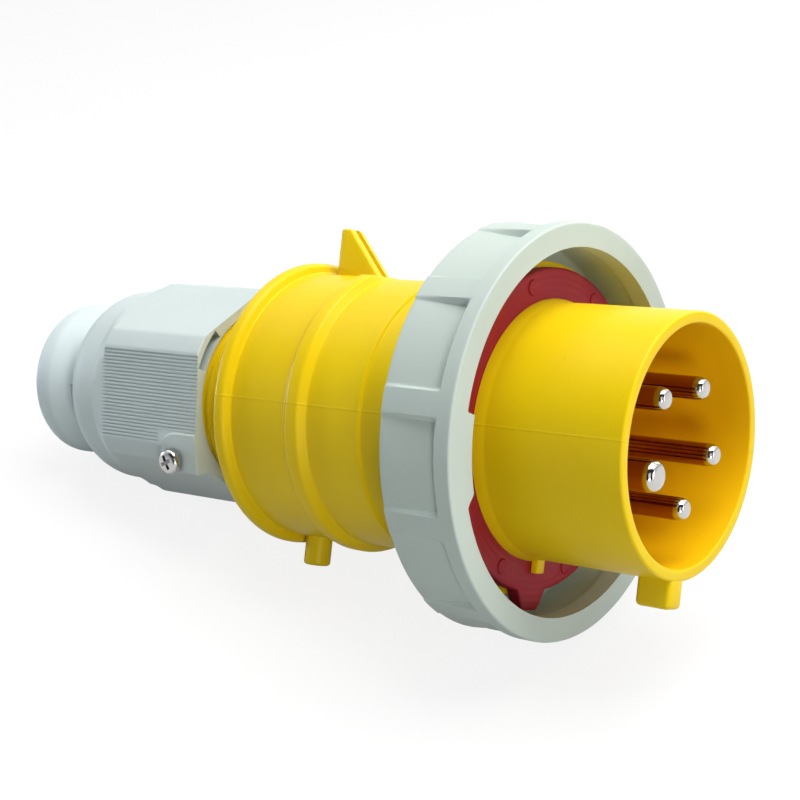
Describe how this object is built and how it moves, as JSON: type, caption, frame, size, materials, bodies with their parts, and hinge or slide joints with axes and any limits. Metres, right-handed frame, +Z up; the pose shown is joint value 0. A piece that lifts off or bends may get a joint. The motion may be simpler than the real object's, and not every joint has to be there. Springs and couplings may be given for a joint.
{
  "type": "industrial plug",
  "caption": "Splash-proof pin-and-sleeve power plug for a cable, with round pins in a shroud, a bayonet locking ring, a face gasket and a screwed cable gland.",
  "frame": {"origin": "middle of the bounding box on the ground", "axes": "+X towards the pins' end, +Z up, with the plug lying on its side as it comes to rest"},
  "size_m": [0.1908, 0.0916, 0.0928],
  "materials": {
    "yellow_housing": "satin moulded polyamide",
    "grey_ring": "satin moulded polyamide",
    "grey_nut": "satin moulded polyamide",
    "grey_sleeve": "matt moulded polyamide",
    "red_gasket": "smooth moulded rubber",
    "plated_pin": "bright nickel plate on brass",
    "steel_screw": "bright zinc plate",
    "insulator": "matt moulded",
    "black_seal": "matt rubber",
    "washer": "smooth"
  },
  "bodies": {
    "plug": {"plug_shroud": "yellow_housing", "contact_carrier": "insulator", "carrier_cover": "insulator", "carrier_screw": "steel_screw", "terminal_screws": "steel_screw", "face_gasket": "red_gasket", "housing_seal": "black_seal", "rear_housing": "yellow_housing", "gland_nut": "grey_nut", "gland_lock_screw": "steel_screw", "clamp_sleeve": "grey_sleeve", "thrust_washer": "washer", "seal_ring": "black_seal", "seal_insert": "black_seal", "earth_pin": "plated_pin", "contact_pin_1": "plated_pin", "contact_pin_2": "plated_pin", "contact_pin_3": "plated_pin", "contact_pin_4": "plated_pin"},
    "ring": {"locking_ring": "grey_ring"}
  },
  "joints": [
    {"name": "ring_turn", "type": "hinge", "parent": "plug", "child": "ring", "pos_m": [0.05245, 0, 0.0462], "axis": [0.9839, 0, 0.1788], "continuous": true}
  ]
}
